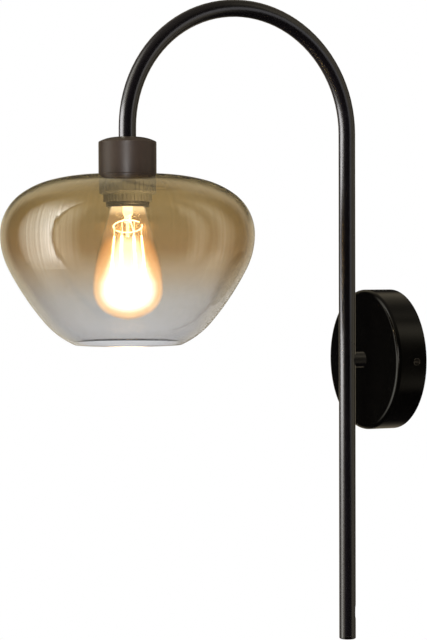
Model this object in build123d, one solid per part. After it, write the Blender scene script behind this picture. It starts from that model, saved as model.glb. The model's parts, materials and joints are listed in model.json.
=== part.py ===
from build123d import *
import math
import os

# Wall sconce: a bent black tube on a round canopy carries a lampholder cup, a blown
# glass bowl and a lamp bulb. Sizes in millimetres. The origin is the centre of the
# canopy's back on the wall, +Y goes into the wall, +Z up, and the lamp hangs at -Y.

# Clearances
fixed_gap = 0.05            # round pieces that are fixed in each other
thread_gap = 0.08           # screw threads that turn
face_gap = 0.1              # flat faces of pieces that move apart
slide_gap = 0.6             # glass round the lampholder's thread
socket_gap = 0.65           # lamp cap inside the threaded shell
slot_gap = 0.2              # contact strips in the slots of the insert

# Arm tube
tube_diameter = 16.0
tube_wall = 1.2
tube_axis_from_wall = 48.0
arc_radius = 114.3
arc_centre_height = 217.0
drop_leg_length = 8.6
foot_drop = 269.5
rear_slot_length = 18.0
rear_slot_width = 12.0
rear_slot_above_foot = 26.0
lead_hole_diameter = 8.0
plug_head = 3.0
plug_spigot = 10.0
plug_edge = 1.2

# Canopy and boss
canopy_diameter = 135.0
canopy_depth = 31.0
canopy_wall = 1.5
canopy_edge = 4.0
least_inner_edge = 0.3
boss_diameter = 15.0
nipple_diameter = 10.0
nipple_bore = 7.0
nipple_inside_canopy = 9.5
nipple_short_of_tube = 1.0
washer_diameter = 18.0
washer_thickness = 1.0
nut_across_flats = 14.0
nut_thickness = 4.0
tag_diameter = 17.0
tag_thickness = 0.8
tag_tail_length = 7.0
tag_tail_width = 4.0

# Wall bracket and its screws
bracket_thickness = 2.0
bracket_width = 20.0
bracket_bend = 2.0
ear_length = 18.0
ear_side_gap = 0.35
bracket_disc_diameter = 48.0
wall_cable_hole = 22.0
slot_spacing = 70.0
slot_length = 14.0
slot_width = 5.2
side_screw_diameter = 4.0
side_screw_length = 9.0
side_screw_from_wall = 11.0
side_screw_head = 6.6
side_screw_head_height = 1.6
screw_slot_width = 0.9
earth_screw_drop = 17.5
earth_screw_diameter = 4.0
earth_head_diameter = 7.0
earth_head_height = 2.2
earth_washer_diameter = 10.0
earth_washer_thickness = 0.8

# Two-pole connector
block_width = 26.0
block_depth = 14.0
block_height = 16.0
block_above_axis = 22.0
pole_spacing = 13.0
pole_tube_diameter = 5.0
pole_tube_bore = 3.0
pole_screw_spacing = 8.0
pole_screw_diameter = 2.4
pole_screw_head = 3.4
pole_screw_head_height = 2.0
pole_screw_stands_off = 1.0
pole_tube_recess = 1.0
block_screw_diameter = 3.0
block_screw_head = 5.6
block_screw_head_height = 2.5
block_edge = 2.0

# Inner leads
lead_diameter = 2.2
lead_pitch = 2.6
lead_bend_inside = 6.0
lead_bend_at_holder = 3.0
lead_bend_at_block = 10.0
lead_past_screw = 1.0
earth_lead_bend = 7.0

# Lamp cup and lampholder
cup_diameter = 53.0
cup_height = 34.0
cup_dome = 4.0
cup_dome_flat = 9.0
cup_wall = 1.2
cup_bevel = 0.7
bush_length = 11.0
lamp_nipple_inside_cap = 0.6
cup_washer_diameter = 15.0
cup_washer_thickness = 0.8
neck_diameter = 16.4
neck_height = 7.0
cap_cone_height = 10.0
cap_wall = 1.2
thread_diameter = 40.0
thread_pitch = 2.5
thread_depth = 0.6
thread_wall = 2.2
thread_land = 1.0
skirt_wall = 1.4
skirt_above_shoulder = 9.8
skirt_below_glass = 29.0
skirt_ledge = 1.6
shoulder_diameter = 47.2
shoulder_thickness = 2.6
insert_height = 33.0
insert_plate = 4.0
insert_recess_diameter = 23.0
insert_recess_height = 4.5
riser_inside_terminal = 1.0
slot_below_recess = 2.0
wire_room = 10.4
strip_width = 5.0
strip_thickness = 0.5
contact_spring = 1.2
shell_wall = 0.35
shell_length = 22.6
shell_above_rim = 1.0
tab_thickness = 0.4
terminal_offset = 9.0
terminal_length = 5.0
terminal_width = 6.0
terminal_height = 5.4
terminal_bore_height = 2.7
terminal_screw_diameter = 2.4
terminal_screw_length = 2.0
terminal_screw_slot = 0.7

# Shade ring
ring_diameter = 52.0
ring_height = 13.3
ring_collar_diameter = 44.4
ring_collar_height = 8.0
ring_ribs = 40
rib_depth = 0.8
rib_share = 0.5
ring_plain_lip = 2.0
ring_edge = 1.0

# Glass shade: six arcs from the neck land down to the rim. An angle is where its arc ends,
# as the outward normal's angle above the horizontal.
glass_thickness = 2.4
neck_land = 29.6
crown_arc = 161.0
crown_angle = 75.0
shoulder_arc = 80.0
shoulder_angle = 55.0
widest_arc = 46.0
widest_angle = 0.0
belly_arc = 69.0
belly_angle = -27.0
flank_arc = 256.0
flank_angle = -40.0
rim_arc = 77.0
rim_angle = -66.0

# Lamp bulb, 64 mm pear shape with a 27 mm screw cap
bulb_length = 142.0
bulb_glass = 0.8
bulb_neck_diameter = 25.2
bulb_neck_line = 3.2
bulb_flare_radius = 12.0
bulb_cone_angle = 16.5
bulb_cone_length = 46.4
bulb_shoulder_radius = 140.0
bulb_belly_radius = 25.0
bulb_belly_angle = 58.0
bulb_tip_radius = 2.4
bulb_tip_root_radius = 3.6
bulb_tip_edge = 1.0
cap_length = 26.0
cap_thread_diameter = 26.2
cap_thread_depth = 0.7
cap_thread_pitch = 3.63
cap_thread_turns = 4
cap_thread_land = 1.0
cap_seat_bevel = 0.7
cap_sheet = 0.35
cap_flare = 2.5
cap_top_diameter = 18.0
cap_cone = 2.2
insulator_height = 2.45
insulator_spigot = 1.0
insulator_bevel = 1.5
button_shoulder = 0.4
button_diameter = 9.4
button_height = 0.8
stem_tube_diameter = 9.0
stem_flare_thickness = 1.0
stem_length = 42.0
stem_rod_diameter = 3.0
stem_pinch = 8.0
stem_below_rim = 1.0
stem_flare_height = 5.0
stem_rod_cone = 3.0
feed_wire_diameter = 1.2
feed_ring_radius = 13.2
feed_ring_drop = 33.0
feed_ring_opening_angle = 30.0
feed_ring_tilt_angle = 27.0
feed_ring_low_side_angle = -27.5
filament_diameter = 1.8
filament_count = 6
filament_spread_angle = 50.0
filaments_below_ring = 9.0
filament_top_radius = 13.0
tail_wire_diameter = 0.6
lower_tail = 2.5
lower_ring_drop = 64.0
lower_ring_radius = 18.0

# Places that follow from the sizes
tube_radius = tube_diameter / 2
tube_bore = tube_radius - tube_wall
nipple_radius = nipple_diameter / 2
lead_radius = lead_diameter / 2
lamp_y = -(tube_axis_from_wall + 2 * arc_radius)
foot_z = -foot_drop
cup_top = arc_centre_height - drop_leg_length
glass_top = cup_top - cup_height - face_gap
glass_under = glass_top - glass_thickness
canopy_face = -canopy_depth
canopy_inner = canopy_diameter / 2 - canopy_wall
neck_top = cup_top - cup_wall - cup_washer_thickness
cap_roof = neck_top - neck_height
thread_radius = thread_diameter / 2
cap_bore = thread_radius + thread_gap
cap_radius = cap_bore + thread_wall
skirt_bore = thread_radius - skirt_wall
shoulder_bottom = glass_top + face_gap
shoulder_top = shoulder_bottom + shoulder_thickness
skirt_top = shoulder_top + skirt_above_shoulder
skirt_bottom = shoulder_bottom - skirt_below_glass
insert_top = cap_roof - wire_room
insert_bottom = insert_top - insert_height
plate_under = insert_top - insert_plate
contact_under = plate_under - contact_spring
shell_outer = cap_thread_diameter / 2 + socket_gap + shell_wall
insert_bore = 2 * (shell_outer + fixed_gap)
terminal_bore_z = insert_top + terminal_bore_height
ring_top = glass_under - face_gap
bulb_top = contact_under - face_gap
bulb_tip = bulb_top - bulb_length
cap_bottom = bulb_top - cap_length
block_y = -(bracket_thickness + block_depth / 2)
block_z = block_above_axis + block_height / 2
washer_y = canopy_face + canopy_wall
tag_y = washer_y + washer_thickness
nut_y = tag_y + tag_thickness
ear_face = math.sqrt(canopy_inner ** 2 - (bracket_width / 2) ** 2) - ear_side_gap


def bar_z(radius, bottom, top, x=0.0, y=0.0):
    """Round bar along Z."""
    bar = Cylinder(radius, top - bottom, align=(Align.CENTER, Align.CENTER, Align.MIN))
    return Pos(x, y, bottom) * bar


def bar_y(radius, front, back, x=0.0, z=0.0):
    """Round bar along Y, from front (low y) to back (high y)."""
    bar = Cylinder(radius, back - front, align=(Align.CENTER, Align.CENTER, Align.MIN))
    return Pos(x, back, z) * Rot(90, 0, 0) * bar


def bar_x(radius, left, right, y=0.0, z=0.0):
    """Round bar along X."""
    bar = Cylinder(radius, right - left, align=(Align.CENTER, Align.CENTER, Align.MIN))
    return Pos(left, y, z) * Rot(0, 90, 0) * bar


def block(x, y, z):
    """Box from three (low, high) pairs."""
    size = [high - low for low, high in (x, y, z)]
    middle = [(high + low) / 2 for low, high in (x, y, z)]
    return Pos(*middle) * Box(*size)


def turned(corners):
    """Solid turned about Z from (radius, height) corners."""
    outline = Polyline([(radius, 0, height) for radius, height in corners], close=True)
    return revolve(make_face(outline.edges()), Axis.Z)


def at_lamp(shape):
    return Pos(0, lamp_y, 0) * shape


def dome_arc(start, end):
    """Arc in the XZ plane between two (radius, height) places, level at the start."""
    across = end[0] - start[0]
    drop = start[1] - end[1]
    bend = (across ** 2 + drop ** 2) / (2 * drop)
    half_turn = math.asin(across / bend) / 2
    middle = (start[0] + bend * math.sin(half_turn), start[1] - bend * (1 - math.cos(half_turn)))
    return ThreePointArc(*[(radius, 0, height) for radius, height in (start, middle, end)])


def normal(angle):
    """Direction of an outward normal that is angle degrees above the horizontal."""
    return math.cos(math.radians(angle)), math.sin(math.radians(angle))


def blown_outline(start, start_angle, steps, inset):
    """Edges of a blown wall from its neck down, inset from its outer surface.

    A step is ("line", length) or ("arc", radius, angle where it ends). The line of the
    wall is square to the normal, and a negative radius bends the wall outwards.
    """
    angle = start_angle
    across, up = normal(angle)
    here = (start[0] - inset * across, start[1] - inset * up)
    edges = []
    for step in steps:
        across, up = normal(angle)
        if step[0] == "line":
            there = (here[0] + step[1] * up, here[1] - step[1] * across)
            edges.append(Line((here[0], 0, here[1]), (there[0], 0, there[1])))
        else:
            radius = step[1] - inset
            centre = (here[0] - radius * across, here[1] - radius * up)
            points = []
            for turn in ((angle + step[2]) / 2, step[2]):
                across, up = normal(turn)
                points.append((centre[0] + radius * across, 0, centre[1] + radius * up))
            edges.append(ThreePointArc((here[0], 0, here[1]), *points))
            angle = step[2]
            there = (points[1][0], points[1][2])
        here = there
    return edges, here, angle


def threaded_edge(radius, depth, pitch, bottom, top):
    """Corners of a row of V grooves between two heights, from the bottom up."""
    corners = []
    grooves = int((top - bottom) / pitch)
    for groove in range(grooves):
        low = bottom + groove * pitch
        corners += [(radius, low), (radius - depth, low + pitch / 2)]
    corners.append((radius, bottom + grooves * pitch))
    return corners


def lead_along(points, radii):
    """Round lead along straight runs with rounded corners."""
    return FilletPolyline(*points, radius=radii)


def swept_lead(edges, start, direction):
    path = Wire(edges)
    section = Plane(origin=start, z_dir=direction) * Circle(lead_radius)
    lead = sweep(section, path)
    print("lead volume over section times length",
          round(lead.volume / (math.pi * lead_radius ** 2 * path.length), 4))
    return lead


# Wall end

def make_wall_bracket():
    strap = block((-ear_face, ear_face), (-bracket_thickness, 0), (-bracket_width / 2, bracket_width / 2))
    disc = bar_y(bracket_disc_diameter / 2, -bracket_thickness, 0)
    wing_top = block_z + block_height / 2
    wing = block((-block_width / 2, block_width / 2), (-bracket_thickness, 0), (0, wing_top))
    bracket = strap + disc + wing
    for side in (-1, 1):
        near, far = sorted((side * (ear_face - bracket_thickness), side * ear_face))
        ear = block((near, far), (-ear_length, 0), (-bracket_width / 2, bracket_width / 2))
        bracket += ear
    outer_bends = bracket.edges().filter_by(Axis.Z).filter_by(
        lambda e: abs(abs(e.center().X) - ear_face) < 0.01 and abs(e.center().Y) < 0.01)
    bracket = fillet(outer_bends, bracket_bend)
    bracket -= bar_y(wall_cable_hole / 2, -bracket_thickness, 0)
    for side in (-1, 1):
        slot = Rot(90, 0, 0) * extrude(SlotOverall(slot_length, slot_width), bracket_thickness)
        bracket -= Pos(side * slot_spacing / 2, 0, 0) * slot
    screw_hole = side_screw_diameter / 2 + fixed_gap
    bracket -= bar_x(screw_hole, -ear_face, ear_face, y=-side_screw_from_wall)
    bracket -= bar_y(earth_screw_diameter / 2 + fixed_gap, -bracket_thickness, 0, z=-earth_screw_drop)
    bracket -= bar_y(block_screw_diameter / 2 + fixed_gap, -bracket_thickness, 0, z=block_z)
    return bracket


def make_earth_screw():
    lead_front = -(bracket_thickness + lead_diameter + 2 * fixed_gap)
    washer_front = lead_front - earth_washer_thickness
    head_front = washer_front - earth_head_height
    shank = bar_y(earth_screw_diameter / 2, washer_front, -fixed_gap, z=-earth_screw_drop)
    washer = bar_y(earth_washer_diameter / 2, washer_front, lead_front, z=-earth_screw_drop)
    head = bar_y(earth_head_diameter / 2, head_front, washer_front, z=-earth_screw_drop)
    half = screw_slot_width / 2
    cut = block((-half, half), (head_front, head_front + earth_head_height / 2),
                (-earth_screw_drop - earth_head_diameter, -earth_screw_drop + earth_head_diameter))
    return shank + washer + head - cut


def pole_places():
    return [side * pole_spacing / 2 for side in (-1, 1)]


def pole_screw_heights():
    return [block_z + side * pole_screw_spacing / 2 for side in (-1, 1)]


def make_terminal_block():
    front = block_y - block_depth / 2
    back = block_y + block_depth / 2
    body = block((-block_width / 2, block_width / 2), (front, back),
                 (block_z - block_height / 2, block_z + block_height / 2))
    body = fillet(body.edges().filter_by(Axis.Z).sort_by(Axis.Y)[:2], block_edge)
    for x in pole_places():
        body -= bar_z(pole_tube_diameter / 2 + fixed_gap, block_above_axis,
                      block_above_axis + block_height, x=x, y=block_y)
        for z in pole_screw_heights():
            body -= bar_y(pole_screw_head / 2 + fixed_gap, front, block_y, x=x, z=z)
    body -= bar_y(block_screw_diameter / 2 + fixed_gap, front, back, z=block_z)
    body -= bar_y(block_screw_head / 2 + slot_gap, front, block_y, z=block_z)
    return body


def make_terminal_tubes():
    tubes = []
    for x in pole_places():
        low = block_above_axis + pole_tube_recess
        high = block_above_axis + block_height - pole_tube_recess
        tube = bar_z(pole_tube_diameter / 2, low, high, x=x, y=block_y)
        tube -= bar_z(pole_tube_bore / 2, low, high, x=x, y=block_y)
        for z in pole_screw_heights():
            tube -= bar_y(pole_screw_diameter / 2 + fixed_gap,
                          block_y - pole_tube_diameter, block_y, x=x, z=z)
        tubes.append(tube.solids()[0])
    return Compound(tubes)


def make_terminal_screws():
    tip = block_y - lead_radius - slot_gap
    seat = block_y - pole_tube_diameter / 2 - pole_screw_stands_off
    head_front = seat - pole_screw_head_height
    screws = []
    for x in pole_places():
        for z in pole_screw_heights():
            screw = bar_y(pole_screw_diameter / 2, seat, tip, x=x, z=z)
            screw += bar_y(pole_screw_head / 2, head_front, seat, x=x, z=z)
            half = screw_slot_width / 2
            screw -= block((x - pole_screw_head, x + pole_screw_head),
                           (head_front, head_front + pole_screw_head_height / 2), (z - half, z + half))
            screws.append(screw.solids()[0])
    return Compound(screws)


def make_terminal_block_screw():
    seat = block_y
    head_front = seat - block_screw_head_height
    screw = bar_y(block_screw_diameter / 2, seat, -fixed_gap, z=block_z)
    screw += bar_y(block_screw_head / 2, head_front, seat, z=block_z)
    half = screw_slot_width / 2
    return screw - block((-block_screw_head, block_screw_head),
                         (head_front, head_front + block_screw_head_height / 2),
                         (block_z - half, block_z + half))


def make_canopy():
    radius = canopy_diameter / 2
    shell = bar_y(radius, canopy_face, 0)
    shell = fillet(shell.edges().filter_by(GeomType.CIRCLE).sort_by(Axis.Y)[0], canopy_edge)
    hollow = bar_y(canopy_inner, canopy_face + canopy_wall, 0)
    inner_edge = max(canopy_edge - canopy_wall, least_inner_edge)
    hollow = fillet(hollow.edges().filter_by(GeomType.CIRCLE).sort_by(Axis.Y)[0], inner_edge)
    shell -= hollow
    shell -= bar_y(nipple_radius + fixed_gap, canopy_face, canopy_face + canopy_wall)
    shell -= bar_x(side_screw_diameter / 2 + slot_gap, -radius, radius, y=-side_screw_from_wall)
    return shell


def make_canopy_side_screws():
    seat = canopy_diameter / 2 + fixed_gap
    tip = seat - side_screw_length
    half = screw_slot_width / 2
    screws = []
    for side in (-1, 1):
        screw = bar_x(side_screw_diameter / 2, tip, seat, y=-side_screw_from_wall)
        head = bar_x(side_screw_head / 2, seat, seat + side_screw_head_height, y=-side_screw_from_wall)
        rim = head.edges().filter_by(GeomType.CIRCLE).sort_by(Axis.X)[-1]
        head = fillet(rim, side_screw_head_height / 2)
        screw += head
        screw -= block((seat + side_screw_head_height / 2, seat + side_screw_head_height),
                       (-side_screw_from_wall - side_screw_head, -side_screw_from_wall + side_screw_head),
                       (-half, half))
        if side < 0:
            screw = Rot(0, 180, 0) * screw
        screws.append(screw.solids()[0])
    return Compound(screws)


def make_canopy_nipple():
    front = -(tube_axis_from_wall - tube_radius - nipple_short_of_tube)
    back = canopy_face + nipple_inside_canopy + canopy_wall
    return bar_y(nipple_radius, front, back) - bar_y(nipple_bore / 2, front, back)


def make_canopy_washer():
    washer = bar_y(washer_diameter / 2, washer_y, tag_y)
    return washer - bar_y(nipple_radius + fixed_gap, washer_y, tag_y)


def make_earth_tag():
    tail_end = -(tag_diameter / 2 + tag_tail_length)
    tag = bar_y(tag_diameter / 2, tag_y, nut_y)
    tag += block((-tag_tail_width / 2, tag_tail_width / 2), (tag_y, nut_y), (tail_end, 0))
    return tag - bar_y(nipple_radius + fixed_gap, tag_y, nut_y)


def make_canopy_nut():
    hexagon = RegularPolygon(nut_across_flats / 2, 6, major_radius=False)
    nut = Pos(0, nut_y + nut_thickness, 0) * Rot(90, 0, 0) * extrude(hexagon, nut_thickness)
    return nut - bar_y(nipple_radius + fixed_gap, nut_y, nut_y + nut_thickness)


# Arm

def make_arm_boss():
    boss = bar_y(boss_diameter / 2, -tube_axis_from_wall, canopy_face)
    boss -= bar_z(tube_radius + fixed_gap, -boss_diameter, boss_diameter, y=-tube_axis_from_wall)
    return boss - bar_y(nipple_radius + fixed_gap, -tube_axis_from_wall, canopy_face)


def arm_rod(radius):
    """Round bar along the arm: rear leg, half circle over the top and front leg."""
    rear = bar_z(radius, foot_z + plug_head, arc_centre_height, y=-tube_axis_from_wall)
    front = bar_z(radius, cup_top, arc_centre_height, y=lamp_y)
    section = Plane(origin=(0, -tube_axis_from_wall, arc_centre_height), z_dir=(0, 0, 1)) * Circle(radius)
    turning = Axis((0, -tube_axis_from_wall - arc_radius, arc_centre_height), (1, 0, 0))
    return rear + revolve(section, turning, 180) + front


def make_arm_tube():
    tube = arm_rod(tube_radius) - arm_rod(tube_bore)
    tube -= bar_y(lead_hole_diameter / 2, -tube_axis_from_wall, canopy_face)
    slot = extrude(SlotOverall(rear_slot_length, rear_slot_width), tube_diameter)
    slot = Rot(90, 0, 0) * Rot(0, 0, 90) * slot
    slot_z = foot_z + rear_slot_above_foot
    return tube - Pos(0, -tube_axis_from_wall + tube_diameter, slot_z) * slot


def make_foot_plug():
    head = bar_z(tube_radius, foot_z, foot_z + plug_head)
    head = fillet(head.edges().filter_by(GeomType.CIRCLE).sort_by(Axis.Z)[0], plug_edge)
    spigot = bar_z(tube_bore - fixed_gap, foot_z + plug_head, foot_z + plug_head + plug_spigot)
    return Pos(0, -tube_axis_from_wall, 0) * (head + spigot)


def make_tube_bush():
    bush = bar_z(tube_bore - fixed_gap, cup_top, cup_top + bush_length)
    return at_lamp(bush - bar_z(nipple_radius + fixed_gap, cup_top, cup_top + bush_length))


def make_lead(side):
    """Inner lead from the connector through the canopy and the arm to the lampholder."""
    x = side * lead_pitch / 2
    pole = side * pole_spacing / 2
    start = (pole, block_y, pole_screw_heights()[0] + lead_past_screw)
    rear = lead_along(
        [start, (pole, block_y, block_above_axis / 2), (x, block_y, 0),
         (x, -tube_axis_from_wall, 0), (x, -tube_axis_from_wall, arc_centre_height)],
        [lead_bend_at_block, lead_bend_inside, lead_bend_inside])
    crown = ThreePointArc((x, -tube_axis_from_wall, arc_centre_height),
                          (x, -tube_axis_from_wall - arc_radius, arc_centre_height + arc_radius),
                          (x, lamp_y, arc_centre_height))
    front = lead_along(
        [(x, lamp_y, arc_centre_height), (x, lamp_y, terminal_bore_z),
         (side * (terminal_offset + lead_past_screw), lamp_y, terminal_bore_z)],
        [lead_bend_at_holder])
    return swept_lead(rear.edges() + [crown] + front.edges(), start, (0, 0, -1))


def make_lead_earth():
    tag_middle = (tag_y + nut_y) / 2
    start = (0, tag_middle, -(tag_diameter / 2 + tag_tail_length))
    low = -(earth_screw_drop + earth_washer_diameter)
    beside = earth_screw_diameter / 2 + lead_radius + fixed_gap
    on_plate = -(bracket_thickness + lead_radius + fixed_gap)
    route = lead_along(
        [start, (0, tag_middle, low), (beside, on_plate, low),
         (beside, on_plate, -earth_screw_drop + earth_screw_diameter)],
        [earth_lead_bend, earth_lead_bend])
    return swept_lead(route.edges(), start, (0, 0, -1))


# Lamp end

def make_lamp_nipple():
    bottom = cap_roof - cap_wall - lamp_nipple_inside_cap
    top = cup_top + bush_length
    return at_lamp(bar_z(nipple_radius, bottom, top) - bar_z(nipple_bore / 2, bottom, top))


def make_lamp_cup():
    radius = cup_diameter / 2
    inner = radius - cup_wall
    hole = nipple_radius + fixed_gap
    bottom = cup_top - cup_height
    rim = cup_top - cup_dome
    roof = cup_top - cup_wall
    side = Polyline([(radius - cup_bevel, 0, rim), (radius, 0, rim - cup_bevel),
                     (radius, 0, bottom + cup_bevel), (radius - cup_bevel, 0, bottom),
                     (inner, 0, bottom), (inner, 0, rim - cup_wall)])
    middle = Polyline([(cup_dome_flat, 0, roof), (hole, 0, roof), (hole, 0, cup_top),
                       (cup_dome_flat, 0, cup_top)])
    outer_dome = dome_arc((cup_dome_flat, cup_top), (radius - cup_bevel, rim))
    inner_dome = dome_arc((cup_dome_flat, roof), (inner, rim - cup_wall))
    outline = side.edges() + middle.edges() + [outer_dome, inner_dome]
    return at_lamp(revolve(make_face(outline), Axis.Z))


def make_cup_washer():
    washer = bar_z(cup_washer_diameter / 2, neck_top, cup_top - cup_wall)
    return at_lamp(washer - bar_z(nipple_radius + fixed_gap, neck_top, cup_top - cup_wall))


def make_holder_cap():
    neck = neck_diameter / 2
    hole = nipple_radius + fixed_gap
    cone_bottom = cap_roof - cap_cone_height
    rim = shoulder_top + face_gap
    return at_lamp(turned([
        (hole, neck_top), (neck, neck_top), (neck, cap_roof), (cap_radius, cone_bottom),
        (cap_radius, rim), (cap_bore, rim), (cap_bore, cone_bottom - cap_wall),
        (neck - cap_wall, cap_roof - cap_wall), (hole, cap_roof - cap_wall)]))


def strip_slot(x_low, x_high, bottom):
    half = strip_width / 2 + slot_gap
    return block((x_low - slot_gap, x_high + slot_gap), (-half, half), (bottom, insert_top))


def contact_riser():
    """Low and high x of the strip which rises from the centre contact."""
    high = terminal_offset - riser_inside_terminal
    return high - strip_thickness, high


def make_holder_insert():
    radius = skirt_bore - face_gap
    step = plate_under - insert_recess_height
    body = turned([
        (0, insert_top), (radius, insert_top), (radius, insert_bottom), (insert_bore / 2, insert_bottom),
        (insert_bore / 2, step), (insert_recess_diameter / 2, step),
        (insert_recess_diameter / 2, plate_under), (0, plate_under)])
    body -= strip_slot(*contact_riser(), plate_under)
    body -= strip_slot(-shell_outer, -shell_outer + shell_wall, step - slot_below_recess)
    return at_lamp(body)


def make_holder_terminals():
    half = terminal_length / 2
    terminals = []
    for side in (-1, 1):
        x = side * terminal_offset
        body = block((x - half, x + half), (-terminal_width / 2, terminal_width / 2),
                     (insert_top, insert_top + terminal_height))
        body -= bar_x(lead_radius + fixed_gap, x - half, x + half, z=terminal_bore_z)
        body -= bar_z(terminal_screw_diameter / 2 + fixed_gap, terminal_bore_z,
                      insert_top + terminal_height, x=x)
        terminals.append(at_lamp(body).solids()[0])
    return Compound(terminals)


def make_holder_terminal_screws():
    bottom = terminal_bore_z + lead_radius + slot_gap
    half = terminal_screw_slot / 2
    screws = []
    for side in (-1, 1):
        x = side * terminal_offset
        screw = bar_z(terminal_screw_diameter / 2, bottom, bottom + terminal_screw_length, x=x)
        screw -= block((x - terminal_screw_diameter, x + terminal_screw_diameter), (-half, half),
                       (bottom + terminal_screw_length / 2, bottom + terminal_screw_length))
        screws.append(at_lamp(screw).solids()[0])
    return Compound(screws)


def make_shell_contact():
    bottom = insert_bottom + shell_above_rim
    top = bottom + shell_length
    shell = bar_z(shell_outer, bottom, top) - bar_z(shell_outer - shell_wall, bottom, top)
    half = strip_width / 2
    shell += block((-shell_outer, -shell_outer + shell_wall), (-half, half),
                   (top - tab_thickness, insert_top + tab_thickness))
    shell += block((-shell_outer, -terminal_offset - terminal_length / 2), (-half, half),
                   (insert_top, insert_top + tab_thickness))
    return at_lamp(shell)


def make_centre_contact():
    half = strip_width / 2
    low, high = contact_riser()
    strip = block((-strip_width, high), (-half, half), (contact_under, contact_under + strip_thickness))
    strip += block((low, high), (-half, half), (contact_under, insert_top))
    return at_lamp(strip)


def make_holder_skirt():
    ledge = skirt_bore - skirt_ledge
    upper = [(thread_radius, skirt_top), (thread_radius, shoulder_top),
             (shoulder_diameter / 2, shoulder_top), (shoulder_diameter / 2, shoulder_bottom)]
    lower = threaded_edge(thread_radius, thread_depth, thread_pitch,
                          skirt_bottom + thread_land, shoulder_bottom - thread_land)
    inner = [(thread_radius - thread_land, skirt_bottom), (skirt_bore, skirt_bottom),
             (skirt_bore, insert_bottom - skirt_ledge), (ledge, insert_bottom - skirt_ledge),
             (ledge, insert_bottom), (skirt_bore, insert_bottom), (skirt_bore, skirt_top)]
    return at_lamp(turned(upper + [(thread_radius, shoulder_bottom)] + lower[::-1] + inner))


def make_shade_ring():
    outer = ring_diameter / 2
    collar = ring_collar_diameter / 2
    bore = thread_radius + thread_gap
    grip_bottom = ring_top - ring_height
    bottom = grip_bottom - ring_collar_height
    ring = turned([
        (bore, ring_top), (outer, ring_top), (outer, grip_bottom + ring_edge),
        (outer - ring_edge, grip_bottom), (collar, grip_bottom), (collar, bottom), (bore, bottom)])
    pitch = 2 * math.pi * outer / ring_ribs
    groove = pitch * (1 - rib_share)
    cutters = []
    for rib in range(ring_ribs):
        turn = Rot(0, 0, rib * 360 / ring_ribs)
        cutters.append(turn * block((outer - rib_depth, outer + rib_depth), (-groove / 2, groove / 2),
                                    (grip_bottom, ring_top - ring_plain_lip)))
        cutters.append(turn * block((collar - rib_depth, collar + rib_depth), (-groove / 2, groove / 2),
                                    (bottom, grip_bottom - ring_edge)))
    return at_lamp(ring - Compound(cutters))


def make_glass_shade():
    hole = thread_radius + slide_gap
    steps = [
        ("line", neck_land - hole), ("arc", crown_arc, crown_angle), ("arc", shoulder_arc, shoulder_angle),
        ("arc", widest_arc, widest_angle), ("arc", belly_arc, belly_angle),
        ("arc", flank_arc, flank_angle), ("arc", rim_arc, rim_angle)]
    outside, outer_end, angle = blown_outline((hole, glass_top), 90, steps, 0)
    inside, inner_end, angle = blown_outline((hole, glass_top), 90, steps, glass_thickness)
    across, up = normal(angle)
    lip = glass_thickness / 2
    tip_radius = (outer_end[0] + inner_end[0]) / 2 + lip * up
    tip_height = (outer_end[1] + inner_end[1]) / 2 - lip * across
    rim = ThreePointArc((outer_end[0], 0, outer_end[1]), (tip_radius, 0, tip_height),
                        (inner_end[0], 0, inner_end[1]))
    hole_edge = Line((hole, 0, glass_under), (hole, 0, glass_top))
    return at_lamp(revolve(make_face(outside + [rim] + inside + [hole_edge]), Axis.Z))


# Lamp bulb

def bulb_steps():
    cone = -bulb_cone_angle
    return [("line", bulb_neck_line), ("arc", -bulb_flare_radius, -cone), ("line", bulb_cone_length),
            ("arc", bulb_shoulder_radius, 0.0), ("arc", bulb_belly_radius, -bulb_belly_angle)]


def bulb_start():
    return bulb_neck_diameter / 2, cap_bottom + cap_flare


def make_bulb_glass():
    belly = blown_outline(bulb_start(), 0, bulb_steps(), 0)[1]
    end_radius = belly[0] / math.cos(math.radians(bulb_belly_angle))
    steps = bulb_steps() + [("arc", end_radius, -90.0)]
    outside, outer_end, angle = blown_outline(bulb_start(), 0, steps, 0)
    inside, inner_end, angle = blown_outline(bulb_start(), 0, steps, bulb_glass)
    neck_outer, neck_z = bulb_start()
    rim = Line((neck_outer - bulb_glass, 0, neck_z), (neck_outer, 0, neck_z))
    middle = Line((0, 0, outer_end[1]), (0, 0, inner_end[1]))
    glass = revolve(make_face(outside + [middle] + inside + [rim]), Axis.Z)
    pip_top = inner_end[1] - bulb_glass / 4
    pip = turned([(0, pip_top), (bulb_tip_root_radius, outer_end[1] + bulb_glass / 2),
                  (bulb_tip_radius, bulb_tip + bulb_tip_edge), (bulb_tip_radius / 2, bulb_tip),
                  (0, bulb_tip)])
    return at_lamp(glass + pip)


def make_bulb_cap():
    crest = cap_thread_diameter / 2
    thread_bottom = cap_bottom + cap_flare + cap_thread_land
    thread_top = thread_bottom + cap_thread_turns * cap_thread_pitch + cap_thread_land / 2
    edge = threaded_edge(crest, cap_thread_depth, cap_thread_pitch, thread_bottom, thread_top)
    top = bulb_top - button_height - insulator_height
    inner = crest - cap_thread_depth - cap_sheet
    flare_inner = bulb_neck_diameter / 2 + fixed_gap
    tip = cap_top_diameter / 2
    return at_lamp(turned(
        [(flare_inner, cap_bottom), (crest, cap_bottom)] + edge
        + [(inner + cap_sheet, top - cap_cone), (tip, top), (tip - cap_sheet, top),
           (inner, top - cap_cone - cap_sheet), (inner, thread_bottom),
           (flare_inner, thread_bottom - cap_seat_bevel)]))


def make_bulb_insulator():
    top = bulb_top - button_height
    bottom = top - insulator_height
    outer = cap_top_diameter / 2
    spigot = outer - cap_sheet - fixed_gap
    return at_lamp(turned([
        (0, top), (button_diameter / 2 + button_shoulder, top), (outer, bottom), (spigot, bottom),
        (spigot, bottom - insulator_spigot / 2), (spigot - insulator_bevel, bottom - insulator_spigot),
        (0, bottom - insulator_spigot)]))


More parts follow.
